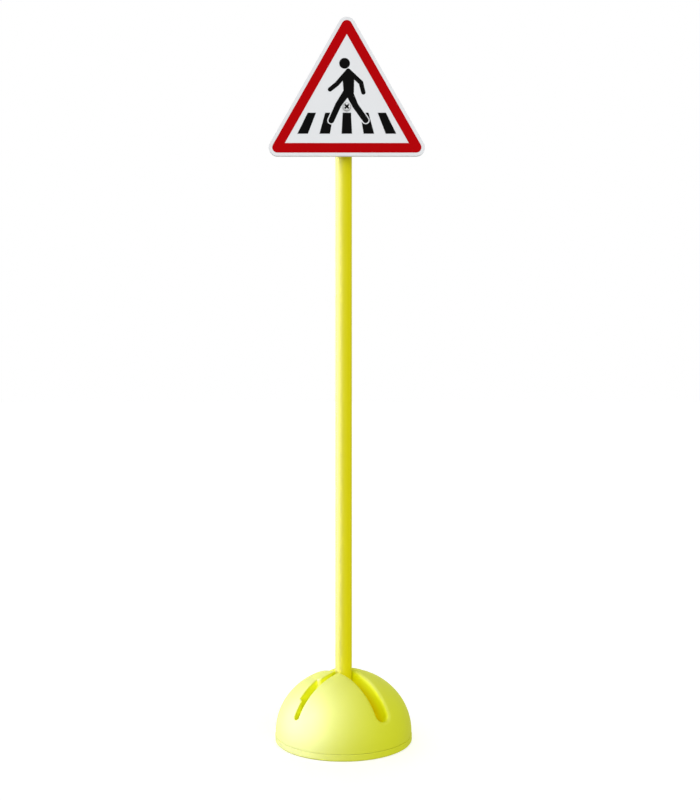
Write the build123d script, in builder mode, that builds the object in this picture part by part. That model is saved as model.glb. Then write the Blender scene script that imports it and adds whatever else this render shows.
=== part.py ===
# Road sign on a pole that stands in a weighted dome base.
# Millimetres. +Z is up and the origin is the middle of the base's underside.
# The plank slot of the base lies along Y, and the hoop slot a few degrees off X.
from build123d import *
from math import cos, hypot, radians, sin, tan
import os

os.makedirs("parts", exist_ok=True)

# Pole
pole_diameter = 25.0
pole_wall = 2.0
pole_length = 1000.0
pole_clearance = 0.3
plug_flange = 3.0
plug_depth = 18.0
plug_clearance = 0.3
plug_edge = 1.0

# Dome of the base
dome_radius = 102.0
dome_height = 90.0
skirt_height = 3.5
shell_wall = 3.5
socket_floor = 12.0

# Slots in the dome: floor height, lean of the end walls, and the two slots of the cross,
# whose ends lie that far in from the dome's edge
slot_floor = 34.0
slot_end_lean = 40.0
slot_end_flat = 1.0
plank_slot_width = 19.0
plank_end_inset = 24.5
plank_lip = 6.0
hoop_slot_width = 9.5
hoop_slot_turn = 3.3
hoop_end_inset = 20.5
hoop_lip = 1.5
lip_gap = 1.0
surface_tolerance = 0.01
pocket_floor = 50.0
pocket_end_inset = 27.0
pocket_length = 32.0
pocket_width = 6.6
pocket_corner = 1.2
pocket_straight = 0.5

# Bottom plate, its seam and its screws
rim_height = 10.0
rim_overhang = 0.6
rim_edge = 2.8
rim_top_edge = 0.6
seam_gap = 0.5
seam_depth = 1.4
plate_floor = 3.5
spigot_wall = 2.3
spigot_height = 5.0
spigot_clearance = 0.3
screw_circle_radius = 70.0
screw_count = 4
screw_bearing = 45.0
boss_diameter = 11.0
pad_margin = 2.0
pad_height = 4.0
plate_screw_diameter = 4.0
plate_screw_length = 16.0
plate_screw_head = 8.0
plate_screw_head_height = 2.6
plate_screw_recess = 3.4
plate_screw_slot = 4.4
plate_screw_slot_width = 1.0
plate_screw_slot_depth = 1.4
screw_play = 0.25
thread_play = 0.05

# Filler bung in the bottom plate
bung_distance = 52.0
bung_diameter = 24.0
bung_flange = 30.0
bung_flange_thickness = 2.5
bung_recess = 0.5
bung_length = 12.0
bung_clearance = 0.3
bung_edge = 1.0
bung_boss_wall = 4.0
bung_boss_height = 4.5
bung_grip_length = 16.0
bung_grip_width = 2.2
bung_grip_depth = 1.2

# Ballast
sand_level = 34.0
sand_clearance = 0.4

# Sign: how far its centre screw is below the pole's top, its turn about the pole, and the panel
sign_below_top = 68.0
sign_turn = -39.5
panel_width = 250.0
panel_height = 220.0
panel_corner = 13.0
panel_thickness = 4.7
panel_edge = 0.4
film_thickness = 0.3
film_inset = 0.4
white_margin = 5.2
red_band = 14.1

# Crossing stripes, which spread towards the bottom of the sign
stripe_count = 5
stripe_top = -8.6
stripe_bottom = -39.6
stripe_top_pitch = 25.9
stripe_bottom_pitch = 32.7
stripe_top_width = 12.2
stripe_bottom_width = 15.5
foot_keyline = 1.7

# Walking figure, joint by joint, right and up from the sign's centre screw
head_centre = (-3.3, 64.6)
head_radius = 7.9
neck = (2.8, 54.0)
chest_left = (-6.5, 46.5)
chest_right = (11.1, 48.0)
waist_left = (-5.0, 24.5)
waist_right = (10.4, 19.0)
crotch = (1.1, 13.0)
left_shoulder = (1.6, 52.8)
left_elbow = (-14.7, 34.1)
left_hand = (-24.9, 25.9)
right_shoulder = (2.0, 53.6)
right_elbow = (20.9, 35.9)
right_hand = (24.5, 21.5)
left_hip = (-0.4, 21.0)
left_knee = (-12.7, 3.0)
left_foot = (-23.0, -20.0)
right_hip = (5.2, 17.7)
right_knee = (12.4, 2.4)
right_foot = (27.9, -19.6)
upper_arm_radius = 3.4
hand_radius = 3.2
hip_radius = 5.5
knee_radius = 4.5
foot_radius = 4.3

# Clip on the pole, its screw and its nut
clip_height = 40.0
clip_wall = 3.5
clip_clearance = 0.3
clip_mouth_angle = 50.0
clip_bead = 2.2
clip_web_width = 18.0
clip_flange_width = 34.0
clip_flange_thickness = 3.0
clip_flange_corner = 4.0
screw_offset = 4.9
nut_gap = 0.2
nut_thickness = 5.0
nut_across_flats = 10.0
nut_play = 0.15
sign_screw_diameter = 6.0
sign_screw_length = 12.0
sign_screw_head = 12.5
sign_screw_head_height = 3.6
sign_screw_head_round = 2.6
recess_length = 7.2
recess_width = 1.7
recess_depth = 2.0
recess_turn = 45.0

# Heights and radii that follow from the sizes above
pole_radius = pole_diameter / 2
plug_radius = pole_radius - pole_wall - plug_clearance
socket_bore = pole_radius + pole_clearance
socket_outer = socket_bore + shell_wall
socket_bottom = socket_floor - shell_wall
seam_top = rim_height + seam_gap
dome_spring = seam_top + skirt_height
dome_top = dome_spring + dome_height
shell_bore = dome_radius - shell_wall
plank_slot_reach = dome_radius - plank_end_inset
hoop_slot_reach = dome_radius - hoop_end_inset
pocket_end = dome_radius - pocket_end_inset
pocket_middle = pocket_end - pocket_length / 2
pocket_shoulder = pocket_width - pocket_corner - pocket_straight
arm_start = plank_slot_width / 2 + plank_lip + lip_gap + hoop_lip + hoop_slot_width / 2
rim_radius = dome_radius + rim_overhang
spigot_outer = shell_bore - spigot_clearance
spigot_inner = spigot_outer - spigot_wall
spigot_top = rim_height + spigot_height
boss_radius = boss_diameter / 2
boss_bottom = plate_floor + pad_height
pad_radius = boss_radius + pad_margin
bung_seat = bung_recess + bung_flange_thickness
bung_top = bung_seat + bung_length
bung_boss_radius = bung_flange / 2 + bung_clearance + bung_boss_wall
tube_bottom = socket_floor + plug_flange
tube_length = pole_length - 2 * plug_flange
tube_top = tube_bottom + tube_length
sign_height = tube_top + plug_flange - sign_below_top
clip_bore = pole_radius + clip_clearance
clip_outer = clip_bore + clip_wall
nut_seat = clip_bore + nut_gap + nut_thickness
panel_back = nut_seat + clip_flange_thickness
panel_front = panel_back + panel_thickness
film_front = panel_front + film_thickness
panel_edges = panel_width + 2 * hypot(panel_width / 2, panel_height)
panel_inradius = panel_width * panel_height / panel_edges
ring_outer = panel_inradius - white_margin
ring_inner = ring_outer - red_band

# Planes of the sign, whose screw lies to one side of the pole, of the clip's plan, and of the underside
turn = radians(sign_turn)
sign_right = (cos(turn), sin(turn), 0)
sign_centre = (screw_offset * cos(turn), screw_offset * sin(turn), sign_height)
sign_plane = Plane(origin=sign_centre, x_dir=sign_right, z_dir=(sin(turn), -cos(turn), 0))
sign_axis = Axis(sign_plane.origin, sign_plane.z_dir)
clip_plane = Plane(origin=(0, 0, sign_height - clip_height / 2), x_dir=sign_right, z_dir=(0, 0, 1))
underside = Plane(origin=(0, 0, 0), x_dir=(1, 0, 0), z_dir=(0, 0, -1))
between_slots = Plane(origin=(0, 0, 0), x_dir=(1, 1, 0), z_dir=(1, -1, 0))
upright = (Align.CENTER, Align.CENTER, Align.MIN)
beyond = (Align.MIN, Align.CENTER, Align.CENTER)


def slot_space(side_plane, width, reach, grow):
    """Room of one slot, right across the dome, with every wall moved out by grow."""
    lean = radians(slot_end_lean)
    bottom = slot_floor - grow
    top = dome_top + dome_height
    bottom_reach = reach + grow / cos(lean) - grow * tan(lean)
    top_reach = bottom_reach + (top - bottom) * tan(lean)
    with BuildPart() as space:
        with BuildSketch(side_plane):
            Polygon(
                (-bottom_reach, bottom),
                (bottom_reach, bottom),
                (top_reach, top),
                (-top_reach, top),
                align=None,
            )
        extrude(amount=width / 2 + grow, both=True)
        leaning = space.edges().filter_by(lambda edge: abs((edge @ 1 - edge @ 0).Z) > slot_floor)
        fillet(leaning, (width - slot_end_flat) / 2 + grow)
    return space.part


def plank_space(grow):
    """Room of the wide slot, along Y."""
    return slot_space(Plane.YZ, plank_slot_width, plank_slot_reach, grow)


def hoop_arm(grow, start):
    """Room of the narrow slot's arm along -X, from a start near the pole, with a pocket on one side."""
    width = hoop_slot_width + 2 * grow
    pocket_depth = width / 2 + pocket_width
    arm_end = pocket_end + grow + pocket_shoulder + lip_gap
    with BuildPart() as arm:
        with BuildSketch(Plane.XY.offset(pocket_floor - grow)) as plan:
            with Locations((-(start + arm_end) / 2, 0)):
                Rectangle(arm_end - start, width)
            with Locations((-pocket_middle, pocket_depth / 2)):
                Rectangle(pocket_length + 2 * grow, pocket_depth)
            pocket_vertices = plan.vertices().sort_by(lambda vertex: abs(vertex.X + pocket_middle))[:4]
            fillet(pocket_vertices.sort_by(Axis.Y)[:2], pocket_shoulder)
            fillet(plan.vertices().sort_by(Axis.Y)[-2:], pocket_corner)
        extrude(amount=dome_top)
        add(slot_space(Plane.XZ, hoop_slot_width, hoop_slot_reach, grow))
        with Locations((-start, 0, 0)):
            Box(2 * dome_radius, dome_radius, 2 * pole_length, align=beyond, mode=Mode.SUBTRACT)
    return arm.part


def hoop_space(grow, start):
    """Room of the narrow slot: one arm, and the same arm turned half round the pole."""
    arm = hoop_arm(grow, start)
    with BuildPart() as space:
        with PolarLocations(0, 2, start_angle=hoop_slot_turn):
            add(arm)
    return space.part


def hoop_arms():
    """Room of the narrow slot's two arms, each with a round inner end clear of the wide slot's lips."""
    with BuildPart() as space:
        add(hoop_space(0, arm_start))
        with Locations((0, 0, slot_floor)):
            with PolarLocations(arm_start, 2, start_angle=hoop_slot_turn):
                Cylinder(hoop_slot_width / 2, dome_top, align=upright)
    return space.part


def on_dome(point):
    """Whether a point lies on the dome's outer face."""
    share = hypot(hypot(point.X, point.Y) / dome_radius, (point.Z - dome_spring) / dome_height)
    return abs(share - 1) * dome_radius < surface_tolerance


def near_axis(point, along, across):
    """Whether a point lies well to one axis's side of the planes between the slots."""
    return abs(point.dot(along)) > 2 * abs(point.dot(across))


def lip_edges(edges, along, across):
    """Edges where a slot along one axis comes out through the dome."""
    rims = edges.filter_by(lambda edge: on_dome(edge @ 0.5))
    return rims.filter_by(lambda edge: all(near_axis(end, along, across) for end in (edge @ 0, edge @ 1)))


def dome_face(radius, rise, bottom):
    """Half section of the dome: a quarter ellipse on a short upright skirt."""
    with BuildSketch() as section:
        with BuildLine():
            Polyline((0, dome_spring + rise), (0, bottom), (radius, bottom), (radius, dome_spring))
            EllipticalCenterArc((0, dome_spring), radius, rise, start_angle=0, arc_size=90)
        make_face()
    return section.sketch


def hollow_space(inset, bottom):
    """Room inside the dome around its channels, socket and bosses, with every wall moved in by inset."""
    with BuildPart() as space:
        with BuildSketch(between_slots):
            add(dome_face(shell_bore - inset, dome_height - shell_wall - inset, bottom))
        revolve(axis=Axis.Z)
        add(plank_space(shell_wall + inset), mode=Mode.SUBTRACT)
        add(hoop_space(shell_wall + inset, 0), mode=Mode.SUBTRACT)
        Cylinder(socket_outer + inset, dome_top, align=upright, mode=Mode.SUBTRACT)
        with PolarLocations(screw_circle_radius, screw_count, start_angle=screw_bearing):
            Cylinder(boss_radius + inset, dome_top, align=upright, mode=Mode.SUBTRACT)
    return space.part


def end_plug(plane):
    """Push-in plug of the pole: a flange as wide as the pole, and a spigot inside the tube."""
    with BuildPart() as plug:
        with BuildSketch(plane):
            Circle(pole_radius)
        extrude(amount=plug_flange)
        outer_face = plug.faces().sort_by(Axis(plane.origin, plane.z_dir))[0]
        fillet(outer_face.edges(), plug_edge)
        with BuildSketch(plane.offset(plug_flange)):
            Circle(plug_radius)
        extrude(amount=plug_depth)
    return plug.part


def sign_triangle(inradius):
    """Upright triangle of the panel's shape round the centre screw, sized by the circle that fits in it."""
    size = inradius / panel_inradius
    side = size * panel_width / 2
    apex = size * (panel_height - panel_inradius)
    with BuildSketch() as outline:
        Polygon((-side, -inradius), (side, -inradius), (0, apex), align=None)
    return outline.sketch


def rounded_triangle(inradius, corner):
    """The same triangle with rounded corners."""
    with BuildSketch() as outline:
        add(sign_triangle(inradius))
        fillet(outline.vertices(), corner)
    return outline.sketch


def limb(start, end, start_radius, end_radius):
    """Tapered bar with round ends between two joints of the walking figure."""
    with BuildSketch() as bar:
        with Locations(start):
            Circle(start_radius)
        with Locations(end):
            Circle(end_radius)
        make_hull()
    return bar.sketch


# Dome shell: hollow moulding with the cross of slots, the pole socket and bosses for the plate screws
with BuildPart() as dome_shell:
    with BuildSketch(between_slots):
        add(dome_face(dome_radius, dome_height, seam_top))
    revolve(axis=Axis.Z)
    add(plank_space(0), mode=Mode.SUBTRACT)
    fillet(lip_edges(dome_shell.edges(), Vector(0, 1), Vector(1, 0)), plank_lip)
    add(hoop_arms(), mode=Mode.SUBTRACT)
    fillet(lip_edges(dome_shell.edges(), Vector(1, 0), Vector(0, 1)), hoop_lip)
    with Locations((0, 0, slot_floor)):
        Box(
            2 * arm_start,
            hoop_slot_width,
            dome_top,
            rotation=(0, 0, hoop_slot_turn),
            align=upright,
            mode=Mode.SUBTRACT,
        )
    add(hollow_space(0, seam_top), mode=Mode.SUBTRACT)
    with Locations((0, 0, socket_bottom)):
        Cylinder(socket_outer, seam_top - socket_bottom + skirt_height, align=upright)
    with Locations((0, 0, socket_floor)):
        Cylinder(socket_bore, dome_top, align=upright, mode=Mode.SUBTRACT)
    with PolarLocations(screw_circle_radius, screw_count, start_angle=screw_bearing):
        with Locations((0, 0, boss_bottom)):
            Cylinder(boss_radius, seam_top - boss_bottom + skirt_height, align=upright)
            Cylinder(
                plate_screw_diameter / 2 + thread_play,
                plate_screw_length,
                align=upright,
                mode=Mode.SUBTRACT,
            )
dome_shell.part.label = "dome_shell"
export_step(dome_shell.part, "parts/dome_shell.step")

# Bottom plate: flat underside, a rim that shows below the dome, and a spigot inside the dome's wall
with BuildPart() as base_plate:
    with BuildSketch(Plane.XZ) as plate_section:
        Polygon(
            (0, 0),
            (rim_radius, 0),
            (rim_radius, rim_height),
            (spigot_outer, rim_height),
            (spigot_outer, spigot_top),
            (spigot_inner, spigot_top),
            (spigot_inner, plate_floor),
            (0, plate_floor),
            align=None,
        )
        rim_corners = plate_section.vertices().sort_by(Axis.X)[-2:].sort_by(Axis.Y)
        fillet(rim_corners[0], rim_edge)
        fillet(plate_section.vertices().sort_by(Axis.X)[-2:].sort_by(Axis.Y)[-1], rim_top_edge)
    revolve(axis=Axis.Z)
    with Locations((0, 0, plate_floor)):
        Cylinder(socket_outer, socket_bottom - plate_floor, align=upright)
        with PolarLocations(screw_circle_radius, screw_count, start_angle=screw_bearing):
            Cylinder(pad_radius, pad_height, align=upright)
    with Locations((bung_distance, 0, plate_floor)):
        Cylinder(bung_boss_radius, bung_boss_height, align=upright)
    with Locations(underside):
        with PolarLocations(screw_circle_radius, screw_count, start_angle=screw_bearing):
            CounterBoreHole(
                plate_screw_diameter / 2 + screw_play,
                plate_screw_head / 2 + screw_play,
                plate_screw_recess,
            )
        with Locations((bung_distance, 0)):
            CounterBoreHole(
                bung_diameter / 2 + bung_clearance,
                bung_flange / 2 + bung_clearance,
                bung_seat,
            )
base_plate.part.label = "base_plate"
export_step(base_plate.part, "parts/base_plate.step")

# Gasket: flat ring in the seam, set back so that the seam shows as a groove
with BuildPart() as base_gasket:
    with BuildSketch(Plane.XY.offset(rim_height)):
        Circle(dome_radius - seam_depth)
        Circle(shell_bore, mode=Mode.SUBTRACT)
    extrude(amount=seam_gap)
base_gasket.part.label = "base_gasket"
export_step(base_gasket.part, "parts/base_gasket.step")

# Plate screws: pan heads in the plate's recesses, shanks in the dome's bosses
with BuildPart() as plate_screws:
    with PolarLocations(screw_circle_radius, screw_count, start_angle=screw_bearing):
        with Locations((0, 0, plate_screw_recess)):
            Cylinder(plate_screw_diameter / 2, plate_screw_length, align=upright)
        with Locations((0, 0, plate_screw_recess - plate_screw_head_height)):
            Cylinder(plate_screw_head / 2, plate_screw_head_height, align=upright)
            for slot_turn in (0, 90):
                Box(
                    plate_screw_slot,
                    plate_screw_slot_width,
                    plate_screw_slot_depth,
                    rotation=(0, 0, slot_turn),
                    align=upright,
                    mode=Mode.SUBTRACT,
                )
plate_screws.part.label = "plate_screws"
export_step(plate_screws.part, "parts/plate_screws.step")

# Filler bung: rubber plug with a flange below the plate's seat and a bar-shaped grip slot
with BuildPart() as filler_bung:
    with Locations((bung_distance, 0, bung_recess)):
        Cylinder(bung_flange / 2, bung_flange_thickness, align=upright)
        Box(bung_grip_length, bung_grip_width, bung_grip_depth, align=upright, mode=Mode.SUBTRACT)
    with Locations((bung_distance, 0, bung_seat)):
        Cylinder(bung_diameter / 2, bung_length, align=upright)
    fillet(filler_bung.faces().sort_by(Axis.Z)[-1].edges(), bung_edge)
filler_bung.part.label = "filler_bung"
export_step(filler_bung.part, "parts/filler_bung.step")

# Sand ballast: fills the dome round its channels, socket, bosses and bung
with BuildPart() as sand_ballast:
    add(hollow_space(sand_clearance, plate_floor))
    with Locations((0, 0, sand_level)):
        Box(2 * dome_radius, 2 * dome_radius, dome_top, align=upright, mode=Mode.SUBTRACT)
    with BuildSketch(Plane.XY.offset(plate_floor)):
        Circle(dome_radius)
        Circle(spigot_inner - sand_clearance, mode=Mode.SUBTRACT)
    extrude(amount=spigot_top + sand_clearance - plate_floor, mode=Mode.SUBTRACT)
    with Locations((0, 0, plate_floor)):
        with PolarLocations(screw_circle_radius, screw_count, start_angle=screw_bearing):
            Cylinder(
                pad_radius + sand_clearance,
                pad_height + sand_clearance,
                align=upright,
                mode=Mode.SUBTRACT,
            )
    with Locations((bung_distance, 0, plate_floor)):
        Cylinder(
            bung_boss_radius + sand_clearance,
            bung_top - plate_floor + sand_clearance,
            align=upright,
            mode=Mode.SUBTRACT,
        )
sand_ballast.part.label = "sand_ballast"
export_step(sand_ballast.part, "parts/sand_ballast.step")

# Pole: plain plastic tube with a plug in each end
with BuildPart() as pole_tube:
    with BuildSketch(Plane.XY.offset(tube_bottom)):
        Circle(pole_radius)
        Circle(pole_radius - pole_wall, mode=Mode.SUBTRACT)
    extrude(amount=tube_length)
pole_tube.part.label = "pole_tube"
export_step(pole_tube.part, "parts/pole_tube.step")

with BuildPart() as pole_foot_plug:
    add(end_plug(Plane.XY.offset(socket_floor)))
pole_foot_plug.part.label = "pole_foot_plug"
export_step(pole_foot_plug.part, "parts/pole_foot_plug.step")

with BuildPart() as pole_top_cap:
    add(end_plug(Plane(origin=(0, 0, tube_top + plug_flange), x_dir=(1, 0, 0), z_dir=(0, 0, -1))))
pole_top_cap.part.label = "pole_top_cap"
export_step(pole_top_cap.part, "parts/pole_top_cap.step")

# Sign panel: rigid white plastic triangle with a hole for the centre screw
with BuildPart() as sign_plate:
    with BuildSketch(sign_plane.offset(panel_back)):
        add(rounded_triangle(panel_inradius, panel_corner))
    extrude(amount=panel_thickness)
    fillet(sign_plate.faces().sort_by(sign_axis)[-1].edges(), panel_edge)
    fillet(sign_plate.faces().sort_by(sign_axis)[0].edges(), panel_edge)
    with BuildSketch(sign_plane.offset(panel_back)):
        Circle(sign_screw_diameter / 2 + screw_play)
    extrude(amount=panel_thickness, mode=Mode.SUBTRACT)
sign_plate.part.label = "sign_plate"
export_step(sign_plate.part, "parts/sign_plate.step")

# Face film: white sheet over the whole front of the panel
with BuildPart() as white_face_film:
    with BuildSketch(sign_plane.offset(panel_front)):
        add(rounded_triangle(panel_inradius - film_inset, panel_corner - film_inset))
        Circle(sign_screw_diameter / 2 + screw_play, mode=Mode.SUBTRACT)
    extrude(amount=film_thickness)
white_face_film.part.label = "white_face_film"
export_step(white_face_film.part, "parts/white_face_film.step")

# Red border: triangular ring, round outside and sharp inside
with BuildPart() as red_border_film:
    with BuildSketch(sign_plane.offset(film_front)):
        add(rounded_triangle(ring_outer, panel_corner - white_margin))
        add(sign_triangle(ring_inner), mode=Mode.SUBTRACT)
    extrude(amount=film_thickness)
red_border_film.part.label = "red_border_film"
export_step(red_border_film.part, "parts/red_border_film.step")

# Crossing stripes: black bars, cut back round the walker's feet to leave a white line
with BuildPart() as crossing_stripes:
    with BuildSketch(sign_plane.offset(film_front)):
        for number in range(stripe_count):
            place = number - (stripe_count - 1) / 2
            top_middle = place * stripe_top_pitch
            bottom_middle = place * stripe_bottom_pitch
            Polygon(
                (bottom_middle - stripe_bottom_width / 2, stripe_bottom),
                (bottom_middle + stripe_bottom_width / 2, stripe_bottom),
                (top_middle + stripe_top_width / 2, stripe_top),
                (top_middle - stripe_top_width / 2, stripe_top),
                align=None,
            )
        for knee, foot in ((left_knee, left_foot), (right_knee, right_foot)):
            add(limb(knee, foot, knee_radius + foot_keyline, foot_radius + foot_keyline), mode=Mode.SUBTRACT)
    extrude(amount=film_thickness)
crossing_stripes.part.label = "crossing_stripes"
export_step(crossing_stripes.part, "parts/crossing_stripes.step")

# Walking figure: black head, and a body of torso and tapered limbs
with BuildPart() as walking_figure:
    with BuildSketch(sign_plane.offset(film_front)):
        with Locations(head_centre):
            Circle(head_radius)
        Polygon(neck, chest_left, waist_left, crotch, waist_right, chest_right, align=None)
        add(limb(left_shoulder, left_elbow, upper_arm_radius, upper_arm_radius))
        add(limb(left_elbow, left_hand, upper_arm_radius, hand_radius))
        add(limb(right_shoulder, right_elbow, upper_arm_radius, upper_arm_radius))
        add(limb(right_elbow, right_hand, upper_arm_radius, hand_radius))
        add(limb(left_hip, left_knee, hip_radius, knee_radius))
        add(limb(left_knee, left_foot, knee_radius, foot_radius))
        add(limb(right_hip, right_knee, hip_radius, knee_radius))
        add(limb(right_knee, right_foot, knee_radius, foot_radius))
    extrude(amount=film_thickness)
walking_figure.part.label = "walking_figure"
export_step(walking_figure.part, "parts/walking_figure.step")

# Sign clip: springy open ring on the pole, joined by a web to the flange behind the panel
with BuildPart() as sign_clip:
    mouth = radians(clip_mouth_angle)
    mouth_side = 2 * clip_outer * sin(mouth)
    mouth_back = 2 * clip_outer * cos(mouth)
    bead_centre = clip_bore + clip_bead
    with BuildSketch(clip_plane):
        Circle(clip_outer)
        with Locations((screw_offset, -panel_back / 2)):
            Rectangle(clip_web_width, panel_back)
        Polygon((0, 0), (mouth_side, mouth_back), (-mouth_side, mouth_back), align=None, mode=Mode.SUBTRACT)
        for side in (1, -1):
            with Locations((side * bead_centre * sin(mouth), bead_centre * cos(mouth))):
                Circle(clip_bead)
        Circle(clip_bore, mode=Mode.SUBTRACT)
    extrude(amount=clip_height)
    with BuildSketch(sign_plane.offset(panel_back - clip_flange_thickness)):
        RectangleRounded(clip_flange_width, clip_height, clip_flange_corner)
    extrude(amount=clip_flange_thickness)
    with BuildSketch(sign_plane):
        RegularPolygon(nut_across_flats / 2 + nut_play, 6, major_radius=False)
    extrude(amount=nut_seat, mode=Mode.SUBTRACT)
    with BuildSketch(sign_plane):
        Circle(sign_screw_diameter / 2 + screw_play)
    extrude(amount=panel_back, mode=Mode.SUBTRACT)
sign_clip.part.label = "sign_clip"
export_step(sign_clip.part, "parts/sign_clip.step")

# Clip nut: hexagon nut in the clip's pocket, between the clip's flange and the pole
with BuildPart() as clip_nut:
    with BuildSketch(sign_plane.offset(nut_seat - nut_thickness)):
        RegularPolygon(nut_across_flats / 2, 6, major_radius=False)
        Circle(sign_screw_diameter / 2 + thread_play, mode=Mode.SUBTRACT)
    extrude(amount=nut_thickness)
clip_nut.part.label = "clip_nut"
export_step(clip_nut.part, "parts/clip_nut.step")

# Sign screw: domed head with a cross recess on the face film, and a shank into the nut
with BuildPart() as sign_screw:
    with BuildSketch(sign_plane.offset(film_front)):
        Circle(sign_screw_head / 2)
    extrude(amount=sign_screw_head_height)
    fillet(sign_screw.faces().sort_by(sign_axis)[-1].edges(), sign_screw_head_round)
    with BuildSketch(sign_plane.offset(film_front + sign_screw_head_height)):
        Rectangle(recess_length, recess_width, rotation=recess_turn)
        Rectangle(recess_width, recess_length, rotation=recess_turn)
    extrude(amount=-recess_depth, mode=Mode.SUBTRACT)
    with BuildSketch(sign_plane.offset(film_front)):
        Circle(sign_screw_diameter / 2)
    extrude(amount=-sign_screw_length)
sign_screw.part.label = "sign_screw"
export_step(sign_screw.part, "parts/sign_screw.step")
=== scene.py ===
import math

import bmesh
import bpy
from mathutils import Matrix, Vector


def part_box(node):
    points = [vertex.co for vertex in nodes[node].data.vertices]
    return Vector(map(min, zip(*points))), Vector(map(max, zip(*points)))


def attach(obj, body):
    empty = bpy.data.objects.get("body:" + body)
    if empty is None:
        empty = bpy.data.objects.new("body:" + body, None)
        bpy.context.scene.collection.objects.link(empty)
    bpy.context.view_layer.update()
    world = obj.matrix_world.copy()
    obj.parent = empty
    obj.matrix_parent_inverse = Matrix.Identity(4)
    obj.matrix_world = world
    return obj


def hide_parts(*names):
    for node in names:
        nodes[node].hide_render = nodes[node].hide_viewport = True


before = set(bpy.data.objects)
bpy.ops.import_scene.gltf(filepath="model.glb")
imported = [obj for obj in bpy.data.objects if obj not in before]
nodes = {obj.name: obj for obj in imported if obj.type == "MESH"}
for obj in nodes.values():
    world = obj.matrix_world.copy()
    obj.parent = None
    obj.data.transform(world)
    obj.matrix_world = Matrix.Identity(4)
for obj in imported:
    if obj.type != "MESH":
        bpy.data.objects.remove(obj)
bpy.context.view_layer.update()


# Bottom plate of the base
# A shallow tray moulded in yellow polyethylene, with the flat underside that the sign stands on.
# Its rim shows as a narrow band below the dome, and four screws hold it on.
BASE_YELLOW = "#CBD00A"
BASE_YELLOW_PALE = "#D0D614"
BASE_MOTTLE_MM = 32
# The blasted grain is really a few tenths of a millimetre, too fine to show, so it is drawn coarser.
BASE_GRAIN_MM = 1.1


def linear(hex_colour):
    """Linear RGBA of an sRGB hex colour."""
    values = [int(hex_colour[place:place + 2], 16) / 255 for place in (1, 3, 5)]
    return [v / 12.92 if v <= 0.04045 else ((v + 0.055) / 1.055) ** 2.4 for v in values] + [1.0]


def per_metre(size_mm):
    """Texture scale that gives features of about that size."""
    return 1000 / size_mm


def add_node(tree, kind, settings=None, inputs=None):
    """Adds one node, sets its properties, then fills or links its inputs."""
    node = tree.nodes.new(kind)
    for name, value in (settings or {}).items():
        setattr(node, name, value)
    for name, value in (inputs or {}).items():
        socket = node.inputs[name]
        if isinstance(value, bpy.types.NodeSocket):
            tree.links.new(value, socket)
        else:
            socket.default_value = value
    return node


def start_material(name):
    """New empty material, with its tree and the coordinates of the object it is on."""
    material = bpy.data.materials.new(name)
    material.use_nodes = True
    tree = material.node_tree
    tree.nodes.clear()
    place = add_node(tree, "ShaderNodeTexCoord").outputs["Object"]
    return material, tree, place


def dress(node_name, material):
    """Gives a CAD node its material."""
    slots = nodes[node_name].data.materials
    slots.clear()
    slots.append(material)


def moulded_polyethylene(name):
    """Polyethylene from a blasted mould: satin, finely grained and faintly mottled."""
    material, tree, place = start_material(name)
    mottle = add_node(tree, "ShaderNodeTexNoise", inputs={
        "Vector": place, "Scale": per_metre(BASE_MOTTLE_MM), "Detail": 3.0, "Roughness": 0.55})
    skin = add_node(tree, "ShaderNodeMix", {"data_type": "RGBA"}, {
        "Factor": mottle.outputs["Fac"], "A": linear(BASE_YELLOW), "B": linear(BASE_YELLOW_PALE)})
    satin = add_node(tree, "ShaderNodeMapRange", inputs={
        "Value": mottle.outputs["Fac"], "To Min": 0.66, "To Max": 0.76})
    grain = add_node(tree, "ShaderNodeTexNoise", inputs={
        "Vector": place, "Scale": per_metre(BASE_GRAIN_MM), "Detail": 2.0})
    relief = add_node(tree, "ShaderNodeBump", inputs={
        "Height": grain.outputs["Fac"], "Strength": 0.25, "Distance": 0.00008})
    shader = add_node(tree, "ShaderNodeBsdfPrincipled", inputs={
        "Base Color": skin.outputs["Result"], "Roughness": satin.outputs["Result"],
        "Normal": relief.outputs["Normal"], "IOR": 1.51, "Specular IOR Level": 0.36})
    add_node(tree, "ShaderNodeOutputMaterial", inputs={"Surface": shader.outputs["BSDF"]})
    return material


dress("base_plate", moulded_polyethylene("moulded_yellow_polyethylene"))


# Gasket in the seam
# A thin strip of soft yellow rubber laid on the plate's rim before the dome is closed on it.
# It sits back from the edge, so the seam shows as a fine groove.
GASKET_YELLOW = "#D6D42C"
GASKET_YELLOW_PALE = "#DEDC3A"
GASKET_BLOOM_MM = 2.0
GASKET_ROUGHNESS = 0.75


def soft_rubber(name, colour, colour_pale, bloom_mm, roughness):
    """Moulded rubber: dull, with a fine chalky mottle."""
    material, tree, place = start_material(name)
    bloom = add_node(tree, "ShaderNodeTexNoise", inputs={
        "Vector": place, "Scale": per_metre(bloom_mm), "Detail": 4.0, "Roughness": 0.6})
    tint = add_node(tree, "ShaderNodeMix", {"data_type": "RGBA"}, {
        "Factor": bloom.outputs["Fac"], "A": linear(colour), "B": linear(colour_pale)})
    dull = add_node(tree, "ShaderNodeMapRange", inputs={
        "Value": bloom.outputs["Fac"], "To Min": roughness - 0.08, "To Max": roughness + 0.08})
    relief = add_node(tree, "ShaderNodeBump", inputs={
        "Height": bloom.outputs["Fac"], "Strength": 0.2, "Distance": 0.0001})
    shader = add_node(tree, "ShaderNodeBsdfPrincipled", inputs={
        "Base Color": tint.outputs["Result"], "Roughness": dull.outputs["Result"],
        "Normal": relief.outputs["Normal"], "IOR": 1.52})
    add_node(tree, "ShaderNodeOutputMaterial", inputs={"Surface": shader.outputs["BSDF"]})
    return material


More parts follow.
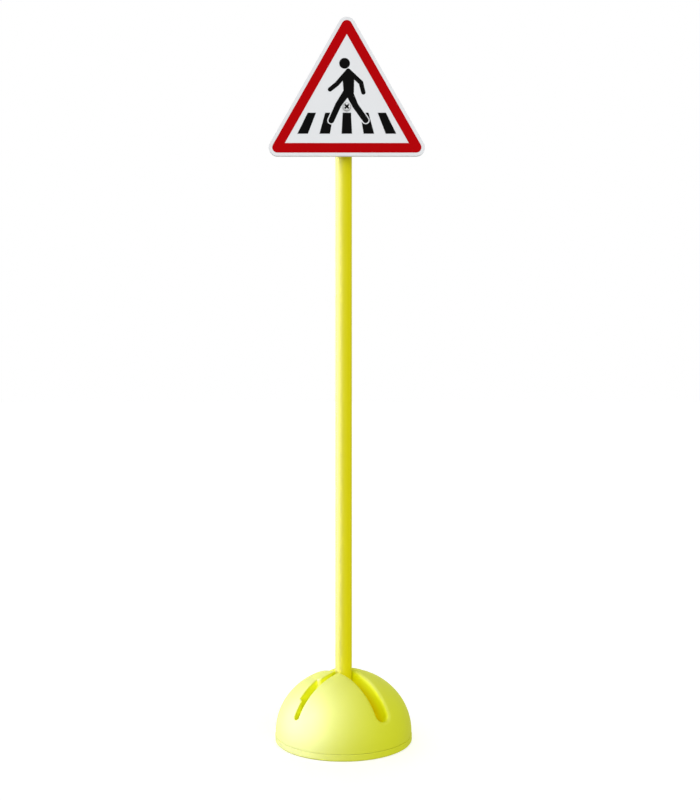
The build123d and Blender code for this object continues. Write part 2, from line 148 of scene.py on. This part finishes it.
gasket_rubber = soft_rubber(
    "soft_yellow_rubber", GASKET_YELLOW, GASKET_YELLOW_PALE, GASKET_BLOOM_MM, GASKET_ROUGHNESS)
dress("base_gasket", gasket_rubber)


# Dome of the base
# One hollow moulding in the same polyethylene as the plate, with a socket for the pole in its middle.
# A wide slot for boards and a narrow one for hoops cross its top, with rolled lips.
# The slot colours are painted light and shade: the brighter, purer yellow stands for light bounced between
# the walls and let through the thin translucent plastic, and the deeper orange-yellow on the wide slot's
# floor is painted shade.
SLOT_PAINTED_LIGHT_YELLOW = "#F3F600"
SLOT_PAINTED_SHADE_YELLOW = "#FAE400"
DOME_RADIUS = 0.102
DOME_RISE = 0.090
DOME_SPRING = 0.014
WIDE_SLOT_SIDE = 0.020
# Where each depth of a slot begins and ends, as a share of the way from the dome's middle to its skin.
SLOT_DEPTHS = {"lip": (0.96, 1.0), "wall": (0.90, 0.985), "floor": (0.66, 0.90)}


def paint_slot_light_and_shade(material):
    """Paints light and shade into the slots: a brighter, purer yellow on their walls for light bounced
    between them and let through the thin plastic, and a deeper orange-yellow on the wide slot's floor as
    painted shade.
    """
    tree = material.node_tree
    shader = tree.nodes["Principled BSDF"]
    place = tree.nodes["Texture Coordinate"].outputs["Object"]
    skin = shader.inputs["Base Color"].links[0].from_socket
    centred = add_node(tree, "ShaderNodeMapping", {"vector_type": "POINT"}, {
        "Vector": place,
        "Location": (0, 0, -DOME_SPRING / DOME_RISE),
        "Scale": (1 / DOME_RADIUS, 1 / DOME_RADIUS, 1 / DOME_RISE)})
    share = add_node(tree, "ShaderNodeVectorMath", {"operation": "LENGTH"}, {0: centred.outputs["Vector"]})
    depths = {}
    for part, (low, high) in SLOT_DEPTHS.items():
        depths[part] = add_node(tree, "ShaderNodeMapRange", {"interpolation_type": "SMOOTHSTEP"}, {
            "Value": share.outputs["Value"],
            "From Min": low, "From Max": high, "To Min": 1.0, "To Max": 0.0}).outputs["Result"]
    across = add_node(tree, "ShaderNodeSeparateXYZ", inputs={"Vector": place})
    aside = add_node(tree, "ShaderNodeMath", {"operation": "ABSOLUTE"}, {0: across.outputs["X"]})
    wide = add_node(tree, "ShaderNodeMath", {"operation": "LESS_THAN"}, {
        0: aside.outputs["Value"], 1: WIDE_SLOT_SIDE}).outputs["Value"]
    inside = add_node(tree, "ShaderNodeMix", {"data_type": "FLOAT"}, {
        0: wide, 2: depths["lip"], 3: depths["wall"]})
    wide_floor_painted_shade = add_node(tree, "ShaderNodeMath", {"operation": "MULTIPLY"}, {0: depths["floor"], 1: wide})
    wide_slot_gloss_shade_mask = add_node(tree, "ShaderNodeMath", {"operation": "MULTIPLY"}, {0: depths["lip"], 1: wide})
    slot_painted_light_and_shade = add_node(tree, "ShaderNodeMix", {"data_type": "RGBA"}, {
        "Factor": wide_floor_painted_shade.outputs["Value"], "A": linear(SLOT_PAINTED_LIGHT_YELLOW), "B": linear(SLOT_PAINTED_SHADE_YELLOW)})
    colour = add_node(tree, "ShaderNodeMix", {"data_type": "RGBA"}, {
        "Factor": inside.outputs[0], "A": skin, "B": slot_painted_light_and_shade.outputs["Result"]})
    # Painted shade on the gloss: in the wide slot and on its lips the highlight is tinted yellow, which
    # hides it where those walls lie in shade.
    shine = add_node(tree, "ShaderNodeMix", {"data_type": "RGBA"}, {
        "Factor": wide_slot_gloss_shade_mask.outputs["Value"], "A": (1, 1, 1, 1), "B": linear(SLOT_PAINTED_LIGHT_YELLOW)})
    tree.links.new(colour.outputs["Result"], shader.inputs["Base Color"])
    tree.links.new(shine.outputs["Result"], shader.inputs["Specular Tint"])


dome_plastic = moulded_polyethylene("slotted_yellow_polyethylene")
paint_slot_light_and_shade(dome_plastic)
dress("dome_shell", dome_plastic)


# Sand in the base
# Dry sand poured in through the bung hole, which keeps the sign upright.
# It is shut inside the dome and never shows.
SAND_PALE = "#D9C49A"
SAND_DARK = "#A88C5E"
SAND_GRAIN_MM = 1.0


def dry_sand():
    """Dry building sand: pale and dark grains with no gloss."""
    material, tree, place = start_material("dry_sand")
    grains = add_node(tree, "ShaderNodeTexVoronoi", inputs={
        "Vector": place, "Scale": per_metre(SAND_GRAIN_MM)})
    tint = add_node(tree, "ShaderNodeMix", {"data_type": "RGBA"}, {
        "Factor": grains.outputs["Distance"], "A": linear(SAND_PALE), "B": linear(SAND_DARK)})
    relief = add_node(tree, "ShaderNodeBump", inputs={
        "Height": grains.outputs["Distance"], "Strength": 0.8, "Distance": 0.0005})
    shader = add_node(tree, "ShaderNodeBsdfPrincipled", inputs={
        "Base Color": tint.outputs["Result"], "Roughness": 0.95, "Normal": relief.outputs["Normal"]})
    add_node(tree, "ShaderNodeOutputMaterial", inputs={"Surface": shader.outputs["BSDF"]})
    return material


dress("sand_ballast", dry_sand())


# Filler bung
# A black rubber stopper pushed into the plate from below, with a bar-shaped slot to pull it out by.
# Its flange lies flush in a recess, so that the base stands flat.
BUNG_BLACK = "#1B1B1C"
BUNG_BLACK_PALE = "#2A2A2B"
BUNG_BLOOM_MM = 1.5
BUNG_ROUGHNESS = 0.7
bung_rubber = soft_rubber("black_rubber", BUNG_BLACK, BUNG_BLACK_PALE, BUNG_BLOOM_MM, BUNG_ROUGHNESS)
dress("filler_bung", bung_rubber)


# Plate screws
# Four zinc-plated steel screws with domed heads and cross recesses, driven up into the dome's bosses.
# The heads lie in recesses in the plate's underside.
ZINC = "#B4B6B8"
ZINC_PALE = "#CFD0D0"
ZINC_CLOUD_MM = 2.2
# The cross recess is painted near-black, as painted shade for its depth.
RECESS_PAINTED_SHADE = "#060606"
RECESS_TAPER = 0.72
SCREW_SIDES = 32
CROWN_STEPS = 8
ROWS_PER_PITCH = 8
SHARP_EDGE = math.radians(40)
PLATE_SCREW_COUNT = 4
PLATE_SCREW_BEARING = math.radians(45)
PLATE_SCREW = {
    "head": 0.008, "head_height": 0.0026, "head_side": 0.0009,
    "shank": 0.004, "length": 0.016, "pitch": 0.0016, "thread_depth": 0.0004,
    "recess": 0.0046, "recess_width": 0.0011, "recess_depth": 0.0015}
scene = bpy.context.scene


def zinc_plated_steel():
    """Bright zinc plating: a soft metal shine with small cloudy crystals, and painted shade in the cross
    recesses, drawn near-black and without metal shine.
    """
    material, tree, place = start_material("zinc_plated_steel")
    clouds = add_node(tree, "ShaderNodeTexNoise", inputs={
        "Vector": place, "Scale": per_metre(ZINC_CLOUD_MM), "Detail": 4.0, "Roughness": 0.6})
    plating = add_node(tree, "ShaderNodeMix", {"data_type": "RGBA"}, {
        "Factor": clouds.outputs["Fac"], "A": linear(ZINC), "B": linear(ZINC_PALE)})
    # The recess faces get painted shade: a near-black colour and no metal shine.
    recess_shade_mask = add_node(tree, "ShaderNodeAttribute", {"attribute_name": "recess"})
    tint = add_node(tree, "ShaderNodeMix", {"data_type": "RGBA"}, {
        "Factor": recess_shade_mask.outputs["Fac"], "A": plating.outputs["Result"], "B": linear(RECESS_PAINTED_SHADE)})
    shine = add_node(tree, "ShaderNodeMapRange", inputs={
        "Value": clouds.outputs["Fac"], "To Min": 0.42, "To Max": 0.58})
    metal_outside_painted_recess = add_node(tree, "ShaderNodeMapRange", inputs={
        "Value": recess_shade_mask.outputs["Fac"], "To Min": 1.0, "To Max": 0.0})
    relief = add_node(tree, "ShaderNodeBump", inputs={
        "Height": clouds.outputs["Fac"], "Strength": 0.15, "Distance": 0.00005})
    shader = add_node(tree, "ShaderNodeBsdfPrincipled", inputs={
        "Base Color": tint.outputs["Result"], "Roughness": shine.outputs["Result"],
        "Normal": relief.outputs["Normal"], "Metallic": metal_outside_painted_recess.outputs["Result"], "Specular IOR Level": 0.0})
    add_node(tree, "ShaderNodeOutputMaterial", inputs={"Surface": shader.outputs["BSDF"]})
    return material


def bridge(shape, ring, following):
    """Closes the wall between two rings that have as many points."""
    for number in range(len(ring)):
        beside = (number + 1) % len(ring)
        shape.faces.new((ring[number], ring[beside], following[beside], following[number]))


def new_piece(name, shape):
    """Object made from a finished shape, with its faces turned outwards."""
    bmesh.ops.recalc_face_normals(shape, faces=shape.faces)
    mesh = bpy.data.meshes.new(name)
    shape.to_mesh(mesh)
    shape.free()
    piece = bpy.data.objects.new(name, mesh)
    scene.collection.objects.link(piece)
    return piece


def screw_rows(size):
    """Rows of a screw from its crown to its tip: height, radius, and how deep the thread is cut there."""
    head = size["head"] / 2
    shank = size["shank"] / 2
    rise = size["head_height"] - size["head_side"]
    rows = []
    for step in range(1, CROWN_STEPS + 1):
        turn = math.pi / 2 * step / CROWN_STEPS
        rows.append((-size["head_side"] - rise * math.cos(turn), head * math.sin(turn), 0))
    rows.append((0, head, 0))
    thread_rows = round(size["length"] / size["pitch"] * ROWS_PER_PITCH)
    for step in range(thread_rows + 1):
        rows.append((size["length"] * step / thread_rows, shank, size["thread_depth"]))
    return rows


def turned_screw(name, size):
    """Screw with its seat at the origin and its shank along Z: a domed head, then a rolled thread."""
    shape = bmesh.new()
    rings = []
    for height, radius, depth in screw_rows(size):
        ring = []
        for side in range(SCREW_SIDES):
            share = side / SCREW_SIDES
            groove = abs(2 * ((height / size["pitch"] - share) % 1) - 1)
            reach = radius - depth * groove
            turn = 2 * math.pi * share
            ring.append(shape.verts.new((reach * math.cos(turn), reach * math.sin(turn), height)))
        rings.append(ring)
    for ring, following in zip(rings, rings[1:]):
        bridge(shape, ring, following)
    for ring, height in ((rings[0], -size["head_height"]), (rings[-1], size["length"])):
        middle = shape.verts.new((0, 0, height))
        for side in range(SCREW_SIDES):
            shape.faces.new((middle, ring[side], ring[(side + 1) % SCREW_SIDES]))
    return new_piece(name, shape)


def recess_cutter(size):
    """Tapered cross that the punch leaves in a screw's crown."""
    arm = size["recess"] / 2
    side = size["recess_width"] / 2
    quarter = [Vector((arm, side)), Vector((side, side)), Vector((side, arm))]
    quarter_turns = [Matrix.Rotation(math.pi / 2 * number, 2) for number in range(4)]
    outline = [turn @ corner for turn in quarter_turns for corner in quarter]
    above_crown = -2 * size["head_height"]
    recess_floor = size["recess_depth"] - size["head_height"]
    shape = bmesh.new()
    rings = []
    for height, taper in ((above_crown, 1.0), (recess_floor, RECESS_TAPER)):
        rings.append([shape.verts.new((point.x * taper, point.y * taper, height)) for point in outline])
    for ring in rings:
        shape.faces.new(ring)
    bridge(shape, rings[0], rings[1])
    return new_piece("recess_cutter", shape)


def plain_mesh(piece):
    """Replaces a piece's mesh by what its modifiers make of it, and removes them."""
    scene_state = bpy.context.evaluated_depsgraph_get()
    mesh = bpy.data.meshes.new_from_object(piece.evaluated_get(scene_state))
    piece.modifiers.clear()
    piece.data = mesh
    return mesh


def mark_recess(mesh, size):
    """Marks the faces of the cross recess, which lie well below the crown's curve, for the painted shade
    there.
    """
    rise = size["head_height"] - size["head_side"]
    recess_shade_mask = mesh.attributes.new("recess", "FLOAT", "FACE")
    for face in mesh.polygons:
        middle = face.center
        reach = min(1.0, math.hypot(middle.x, middle.y) / (size["head"] / 2))
        crown = -size["head_side"] - rise * math.sqrt(1 - reach * reach)
        if middle.z < -size["head_side"] / 2 and middle.z - crown > size["recess_depth"] / 4:
            recess_shade_mask.data[face.index].value = 1.0


def finished_screw(name, size):
    """Screw with its recess punched and marked, and with smooth sides."""
    piece = turned_screw(name, size)
    cutter = recess_cutter(size)
    punch = piece.modifiers.new("punch", "BOOLEAN")
    punch.operation = "DIFFERENCE"
    punch.solver = "EXACT"
    punch.object = cutter
    mesh = plain_mesh(piece)
    bpy.data.objects.remove(cutter)
    mark_recess(mesh, size)
    mesh.shade_smooth()
    mesh.set_sharp_from_angle(angle=SHARP_EDGE)
    return piece


def screw_ring_tree():
    """Node tree that stands one screw at each of a number of places round a circle."""
    tree = bpy.data.node_groups.new("screw_ring", "GeometryNodeTree")
    sockets = {
        "Screw": "NodeSocketObject", "Count": "NodeSocketInt", "Ring radius": "NodeSocketFloat",
        "Bearing": "NodeSocketFloat", "Finish": "NodeSocketMaterial"}
    for name, kind in sockets.items():
        tree.interface.new_socket(name, in_out="INPUT", socket_type=kind)
    tree.interface.new_socket("Geometry", in_out="OUTPUT", socket_type="NodeSocketGeometry")
    given = add_node(tree, "NodeGroupInput").outputs
    circle = add_node(tree, "GeometryNodeMeshCircle", inputs={
        "Vertices": given["Count"], "Radius": given["Ring radius"]})
    bearing = add_node(tree, "ShaderNodeCombineXYZ", inputs={"Z": given["Bearing"]})
    places = add_node(tree, "GeometryNodeTransform", inputs={
        "Geometry": circle.outputs["Mesh"], "Rotation": bearing.outputs["Vector"]})
    screw = add_node(tree, "GeometryNodeObjectInfo", inputs={"Object": given["Screw"]})
    stood = add_node(tree, "GeometryNodeInstanceOnPoints", inputs={
        "Points": places.outputs["Geometry"], "Instance": screw.outputs["Geometry"]})
    solid = add_node(tree, "GeometryNodeRealizeInstances", inputs={"Geometry": stood.outputs["Instances"]})
    coated = add_node(tree, "GeometryNodeSetMaterial", inputs={
        "Geometry": solid.outputs["Geometry"], "Material": given["Finish"]})
    add_node(tree, "NodeGroupOutput", inputs={"Geometry": coated.outputs["Geometry"]})
    return tree


zinc = zinc_plated_steel()
screws_low, screws_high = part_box("plate_screws")
one_screw = finished_screw("one_plate_screw", PLATE_SCREW)
one_screw.data.transform(Matrix.Translation((0, 0, screws_low.z + PLATE_SCREW["head_height"])))
plate_screws = bpy.data.objects.new("domed_plate_screws", bpy.data.meshes.new("domed_plate_screws"))
scene.collection.objects.link(plate_screws)
ring_tree = screw_ring_tree()
screw_ring = plate_screws.modifiers.new("screw_ring", "NODES")
screw_ring.node_group = ring_tree
ring_values = {
    "Screw": one_screw,
    "Count": PLATE_SCREW_COUNT,
    "Ring radius": (screws_high.x - PLATE_SCREW["head"] / 2) / math.cos(PLATE_SCREW_BEARING),
    "Bearing": PLATE_SCREW_BEARING,
    "Finish": zinc}
for socket in ring_tree.interface.items_tree:
    if socket.in_out == "INPUT":
        screw_ring[socket.identifier] = ring_values[socket.name]
plain_mesh(plate_screws)
bpy.data.objects.remove(one_screw)
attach(plate_screws, "base")
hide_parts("plate_screws")


# Pole
# An extruded PVC tube, yellow right through, stood loosely in the dome's socket.
# Fine lines from the die run along it.
POLE_YELLOW = "#DAD200"
POLE_YELLOW_PALE = "#DED704"
POLE_CLOUD_MM = 60
# The die lines are really hair-fine, so they are drawn wider, a hundred times as long as wide.
POLE_STREAK_MM = 1.6
POLE_STREAK_STRETCH = 100


def extruded_pvc():
    """Extruded PVC: smooth and fairly glossy, with faint streaks along the tube."""
    material, tree, place = start_material("extruded_yellow_pvc")
    stretched = add_node(tree, "ShaderNodeMapping", inputs={
        "Vector": place, "Scale": (1, 1, 1 / POLE_STREAK_STRETCH)})
    streaks = add_node(tree, "ShaderNodeTexNoise", inputs={
        "Vector": stretched.outputs["Vector"], "Scale": per_metre(POLE_STREAK_MM),
        "Detail": 3.0, "Roughness": 0.6})
    clouds = add_node(tree, "ShaderNodeTexNoise", inputs={
        "Vector": place, "Scale": per_metre(POLE_CLOUD_MM), "Detail": 2.0})
    blotch = add_node(tree, "ShaderNodeMath", {"operation": "MULTIPLY"}, {
        0: streaks.outputs["Fac"], 1: clouds.outputs["Fac"]})
    tint = add_node(tree, "ShaderNodeMix", {"data_type": "RGBA"}, {
        "Factor": blotch.outputs["Value"], "A": linear(POLE_YELLOW), "B": linear(POLE_YELLOW_PALE)})
    gloss = add_node(tree, "ShaderNodeMapRange", inputs={
        "Value": streaks.outputs["Fac"], "To Min": 0.5, "To Max": 0.6})
    relief = add_node(tree, "ShaderNodeBump", inputs={
        "Height": streaks.outputs["Fac"], "Strength": 0.05, "Distance": 0.00005})
    shader = add_node(tree, "ShaderNodeBsdfPrincipled", inputs={
        "Base Color": tint.outputs["Result"], "Roughness": gloss.outputs["Result"],
        "Normal": relief.outputs["Normal"], "IOR": 1.53, "Specular IOR Level": 0.07})
    add_node(tree, "ShaderNodeOutputMaterial", inputs={"Surface": shader.outputs["BSDF"]})
    return material


pole_plastic = extruded_pvc()
dress("pole_tube", pole_plastic)


# Plugs in the pole's ends
# Moulded plastic plugs pushed into the tube, each with a flange that covers the cut edge.
# The lower one is the foot that stands on the socket's floor.
dress("pole_foot_plug", pole_plastic)
dress("pole_top_cap", pole_plastic)


# Sign panel
# A triangle sawn from rigid white foamed PVC sheet, with rounded corners and one hole in its middle.
# The clip's screw holds it flat against the clip.
PANEL_WHITE = "#E4E5E7"
PANEL_WHITE_PALE = "#EBECED"
# The foam's cells are really a few tenths of a millimetre, too fine to show, so they are drawn coarser.
PANEL_CELL_MM = 1.2


def foamed_pvc():
    """Foamed PVC sheet: matt white with a faint cellular grain."""
    material, tree, place = start_material("white_foamed_pvc")
    cells = add_node(tree, "ShaderNodeTexNoise", inputs={
        "Vector": place, "Scale": per_metre(PANEL_CELL_MM), "Detail": 3.0, "Roughness": 0.6})
    tint = add_node(tree, "ShaderNodeMix", {"data_type": "RGBA"}, {
        "Factor": cells.outputs["Fac"], "A": linear(PANEL_WHITE), "B": linear(PANEL_WHITE_PALE)})
    matt = add_node(tree, "ShaderNodeMapRange", inputs={
        "Value": cells.outputs["Fac"], "To Min": 0.5, "To Max": 0.64})
    relief = add_node(tree, "ShaderNodeBump", inputs={
        "Height": cells.outputs["Fac"], "Strength": 0.2, "Distance": 0.0001})
    shader = add_node(tree, "ShaderNodeBsdfPrincipled", inputs={
        "Base Color": tint.outputs["Result"], "Roughness": matt.outputs["Result"],
        "Normal": relief.outputs["Normal"], "IOR": 1.53})
    add_node(tree, "ShaderNodeOutputMaterial", inputs={"Surface": shader.outputs["BSDF"]})
    return material


dress("sign_plate", foamed_pvc())


# Films on the sign's face
# A white vinyl film covers the panel, with the red border, the black stripes and the walker laid on it.
# All are cut from self-adhesive sheet.
FILM_WHITE = "#E9EBED"
FILM_WHITE_PALE = "#EDEFF1"
FILM_RED = "#B40004"
FILM_RED_PALE = "#BA0007"
FILM_BLACK = "#080808"
FILM_BLACK_PALE = "#0D0D0D"
FILM_RIPPLE_MM = 4.0
FILM_SPREAD_MM = 45


def vinyl_film(name, colour, colour_pale):
    """Self-adhesive vinyl: even colour, hardly any gloss, and the slight ripple of a rolled film."""
    material, tree, place = start_material(name)
    ripple = add_node(tree, "ShaderNodeTexNoise", inputs={
        "Vector": place, "Scale": per_metre(FILM_RIPPLE_MM), "Detail": 2.0})
    spread = add_node(tree, "ShaderNodeTexNoise", inputs={
        "Vector": place, "Scale": per_metre(FILM_SPREAD_MM), "Detail": 2.0})
    tint = add_node(tree, "ShaderNodeMix", {"data_type": "RGBA"}, {
        "Factor": spread.outputs["Fac"], "A": linear(colour), "B": linear(colour_pale)})
    gloss = add_node(tree, "ShaderNodeMapRange", inputs={
        "Value": spread.outputs["Fac"], "To Min": 0.26, "To Max": 0.34})
    relief = add_node(tree, "ShaderNodeBump", inputs={
        "Height": ripple.outputs["Fac"], "Strength": 0.1, "Distance": 0.0001})
    shader = add_node(tree, "ShaderNodeBsdfPrincipled", inputs={
        "Base Color": tint.outputs["Result"], "Roughness": gloss.outputs["Result"],
        "Normal": relief.outputs["Normal"], "IOR": 1.5, "Specular IOR Level": 0.015})
    add_node(tree, "ShaderNodeOutputMaterial", inputs={"Surface": shader.outputs["BSDF"]})
    return material


black_vinyl = vinyl_film("black_vinyl_film", FILM_BLACK, FILM_BLACK_PALE)
dress("white_face_film", vinyl_film("white_vinyl_film", FILM_WHITE, FILM_WHITE_PALE))
dress("red_border_film", vinyl_film("red_vinyl_film", FILM_RED, FILM_RED_PALE))
dress("crossing_stripes", black_vinyl)
dress("walking_figure", black_vinyl)


# Clip behind the sign
# A springy open ring moulded in black nylon that snaps onto the pole, with a flange behind the panel.
# A steel nut sits captive in its pocket.
NYLON_BLACK = "#1A1A1B"
NYLON_BLACK_PALE = "#262627"
# The eroded grain is really about a tenth of a millimetre, too fine to show, so it is drawn coarser.
NYLON_GRAIN_MM = 0.8


def moulded_nylon():
    """Nylon from a spark-eroded mould: dull black with a fine even grain."""
    material, tree, place = start_material("moulded_black_nylon")
    grain = add_node(tree, "ShaderNodeTexNoise", inputs={
        "Vector": place, "Scale": per_metre(NYLON_GRAIN_MM), "Detail": 3.0})
    tint = add_node(tree, "ShaderNodeMix", {"data_type": "RGBA"}, {
        "Factor": grain.outputs["Fac"], "A": linear(NYLON_BLACK), "B": linear(NYLON_BLACK_PALE)})
    dull = add_node(tree, "ShaderNodeMapRange", inputs={
        "Value": grain.outputs["Fac"], "To Min": 0.45, "To Max": 0.6})
    relief = add_node(tree, "ShaderNodeBump", inputs={
        "Height": grain.outputs["Fac"], "Strength": 0.3, "Distance": 0.0001})
    shader = add_node(tree, "ShaderNodeBsdfPrincipled", inputs={
        "Base Color": tint.outputs["Result"], "Roughness": dull.outputs["Result"],
        "Normal": relief.outputs["Normal"], "IOR": 1.53})
    add_node(tree, "ShaderNodeOutputMaterial", inputs={"Surface": shader.outputs["BSDF"]})
    return material


dress("sign_clip", moulded_nylon())
dress("clip_nut", zinc)


# Screw in the middle of the sign
# One zinc-plated screw with a domed head and a cross recess.
# It goes through the film and the panel into the clip's nut.
SIGN_TURN = math.radians(-39.5)
SCREW_SIDE = 0.0049
SCREW_SEAT = 0.0260
SCREW_TURN = math.radians(45)
SIGN_SCREW = {
    "head": 0.0125, "head_height": 0.0036, "head_side": 0.0010,
    "shank": 0.006, "length": 0.012, "pitch": 0.0010, "thread_depth": 0.0005,
    "recess": 0.0108, "recess_width": 0.0034, "recess_depth": 0.0026}
across_sign = Vector((math.cos(SIGN_TURN), math.sin(SIGN_TURN), 0))
out_of_sign = Vector((math.sin(SIGN_TURN), -math.cos(SIGN_TURN), 0))
screw_low, screw_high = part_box("sign_screw")
screw_seat = SCREW_SIDE * across_sign + SCREW_SEAT * out_of_sign
screw_seat.z = (screw_low.z + screw_high.z) / 2
into_sign = Matrix.Translation(screw_seat) @ out_of_sign.to_track_quat("-Z", "Y").to_matrix().to_4x4()
sign_screw = finished_screw("domed_sign_screw", SIGN_SCREW)
sign_screw.data.transform(into_sign @ Matrix.Rotation(SCREW_TURN, 4, "Z"))
sign_screw.data.materials.append(zinc)
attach(sign_screw, "sign")
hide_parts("sign_screw")


# Lamps
# A large soft lamp on the viewer's side and a weaker one behind give an even, plain light.
# Two white softboxes on the left show only as a gloss, one on the base and one on the pole.
def studio_place(right, towards, up):
    """Point given from the pole's foot, facing the sign: to the right, towards the viewer, and up."""
    return right * across_sign + towards * out_of_sign + Vector((0, 0, up))


def hang_lamp(name, light, place, aim):
    """Hangs a lamp at a place, turned towards a point of the pole's middle line at the given height."""
    lamp = bpy.data.objects.new(name, light)
    lamp.location = place
    lamp.rotation_euler = (Vector((0, 0, aim)) - place).to_track_quat("-Z", "Y").to_euler()
    scene.collection.objects.link(lamp)
    return lamp


def hang_soft_sun(name, spread, brightness, place):
    """Hangs a wide even lamp that makes a white face turned to it that bright."""
    light = bpy.data.lights.new(name, "SUN")
    light.angle = math.radians(spread)
    light.energy = math.pi * brightness
    return hang_lamp(name, light, place, 0)


def hang_softbox(name, width, height, watts, place, aim, lit_nodes):
    """Hangs a softbox that shows as a gloss on the named pieces only."""
    light = bpy.data.lights.new(name, "AREA")
    light.shape = "RECTANGLE"
    light.size = width
    light.size_y = height
    light.energy = watts
    lamp = hang_lamp(name, light, place, aim)
    lamp.visible_diffuse = False
    lamp.visible_camera = False
    lit = bpy.data.collections.new(name + "_lights")
    for node_name in lit_nodes:
        lit.objects.link(nodes[node_name])
    lamp.light_linking.receiver_collection = lit


hang_soft_sun("front_lamp", spread=70, brightness=0.41, place=studio_place(0.65, 2.4, 1.6))
rear_lamp = hang_soft_sun("rear_lamp", spread=60, brightness=0.22, place=studio_place(-0.3, -2.4, 0.8))
rear_lamp.visible_glossy = False
hang_softbox(
    "base_softbox", width=2.9, height=3.0, watts=1350,
    place=studio_place(-1.94, 0.58, 0.85), aim=0,
    lit_nodes=("dome_shell", "base_plate", "base_gasket"))
hang_softbox(
    "pole_softbox", width=0.95, height=1.6, watts=260,
    place=studio_place(-0.492, 0.095, 0.75), aim=0.75,
    lit_nodes=("pole_tube", "pole_top_cap", "pole_foot_plug"))


# Floor
# A wide white sheet just under the base, which keeps the object's soft shadow.
# It glows for the viewer and for gloss, so that it runs into the white surroundings, and from below
# it is clear, so that the underside shows.
FLOOR_SIZE = 400.0
FLOOR_DROP = 0.0002
FLOOR_WHITE = "#CDCDCD"
FLOOR_GLOW = 0.54
floor_mesh = bpy.data.meshes.new("floor")
corner = FLOOR_SIZE / 2
floor_corners = [(-corner, -corner), (corner, -corner), (corner, corner), (-corner, corner)]
floor_mesh.from_pydata([(x, y, -FLOOR_DROP) for x, y in floor_corners], [], [(0, 1, 2, 3)])
floor = bpy.data.objects.new("floor", floor_mesh)
scene.collection.objects.link(floor)
floor_material, floor_tree, _ = start_material("white_studio_floor")
floor_path = add_node(floor_tree, "ShaderNodeLightPath").outputs
floor_seen = add_node(floor_tree, "ShaderNodeMath", {"operation": "MAXIMUM"}, {
    0: floor_path["Is Camera Ray"], 1: floor_path["Is Glossy Ray"]})
floor_glow = add_node(floor_tree, "ShaderNodeMath", {"operation": "MULTIPLY"}, {
    0: floor_seen.outputs["Value"], 1: FLOOR_GLOW})
floor_shader = add_node(floor_tree, "ShaderNodeBsdfPrincipled", inputs={
    "Base Color": linear(FLOOR_WHITE), "Roughness": 0.9, "Specular IOR Level": 0.0,
    "Emission Color": (1, 1, 1, 1), "Emission Strength": floor_glow.outputs["Value"]})
from_below = add_node(floor_tree, "ShaderNodeNewGeometry").outputs["Backfacing"]
clear = add_node(floor_tree, "ShaderNodeBsdfTransparent")
two_sided = add_node(floor_tree, "ShaderNodeMixShader", inputs={
    0: from_below, 1: floor_shader.outputs["BSDF"], 2: clear.outputs["BSDF"]})
add_node(floor_tree, "ShaderNodeOutputMaterial", inputs={"Surface": two_sided.outputs["Shader"]})
floor_mesh.materials.append(floor_material)
floor.visible_diffuse = False
floor.visible_shadow = False


# Surroundings
# White walls all round, a dimmer ceiling, and the light that a pale floor throws back up.
# The viewer, gloss and clear pieces see them as plain white.
WALL_LIGHT = 1.08
CEILING_LIGHT = 0.25
FLOOR_LIGHT = 0.46
SEEN_WHITE = 1.0
world = bpy.data.worlds.new("white_studio")
world.use_nodes = True
world_tree = world.node_tree
world_tree.nodes.clear()
direction = add_node(world_tree, "ShaderNodeTexCoord").outputs["Generated"]
upward = add_node(world_tree, "ShaderNodeSeparateXYZ", inputs={"Vector": direction}).outputs["Z"]
upper_light = add_node(world_tree, "ShaderNodeMapRange", inputs={
    "Value": upward, "To Min": WALL_LIGHT, "To Max": CEILING_LIGHT})
downward = add_node(world_tree, "ShaderNodeMath", {"operation": "LESS_THAN"}, {0: upward, 1: 0.0})
light_round = add_node(world_tree, "ShaderNodeMapRange", inputs={
    "Value": downward.outputs["Value"], "To Min": upper_light.outputs["Result"], "To Max": FLOOR_LIGHT})
world_path = add_node(world_tree, "ShaderNodeLightPath").outputs
world_seen = add_node(world_tree, "ShaderNodeMath", {"operation": "MAXIMUM"}, {
    0: world_path["Is Camera Ray"], 1: world_path["Is Glossy Ray"]})
world_shown = add_node(world_tree, "ShaderNodeMath", {"operation": "MAXIMUM"}, {
    0: world_seen.outputs["Value"], 1: world_path["Is Transmission Ray"]})
world_strength = add_node(world_tree, "ShaderNodeMapRange", inputs={
    "Value": world_shown.outputs["Value"], "To Min": light_round.outputs["Result"], "To Max": SEEN_WHITE})
background = add_node(world_tree, "ShaderNodeBackground", inputs={
    "Color": (1, 1, 1, 1), "Strength": world_strength.outputs["Result"]})
add_node(world_tree, "ShaderNodeOutputWorld", inputs={"Surface": background.outputs["Background"]})
scene.world = world


# Camera
# Level and square to the sign, at about half its height, as in the photograph.
# The lens is worked out from the photograph's frame, 700 by 800 pixels.
VIEW_DISTANCE = 1.578
VIEW_HEIGHT = 0.510
VIEW_SIDE = 0.0096
FOCAL_PIXELS = 1048
IMAGE_HEIGHT = 800
SENSOR = 36.0
camera_data = bpy.data.cameras.new("camera")
camera_data.lens = FOCAL_PIXELS * SENSOR / IMAGE_HEIGHT
camera_data.sensor_width = SENSOR
camera = bpy.data.objects.new("camera", camera_data)
camera.location = studio_place(VIEW_SIDE, VIEW_DISTANCE, VIEW_HEIGHT)
camera.rotation_euler = (math.pi / 2, 0, SIGN_TURN)
scene.collection.objects.link(camera)
scene.camera = camera
scene.view_settings.view_transform = "Standard"
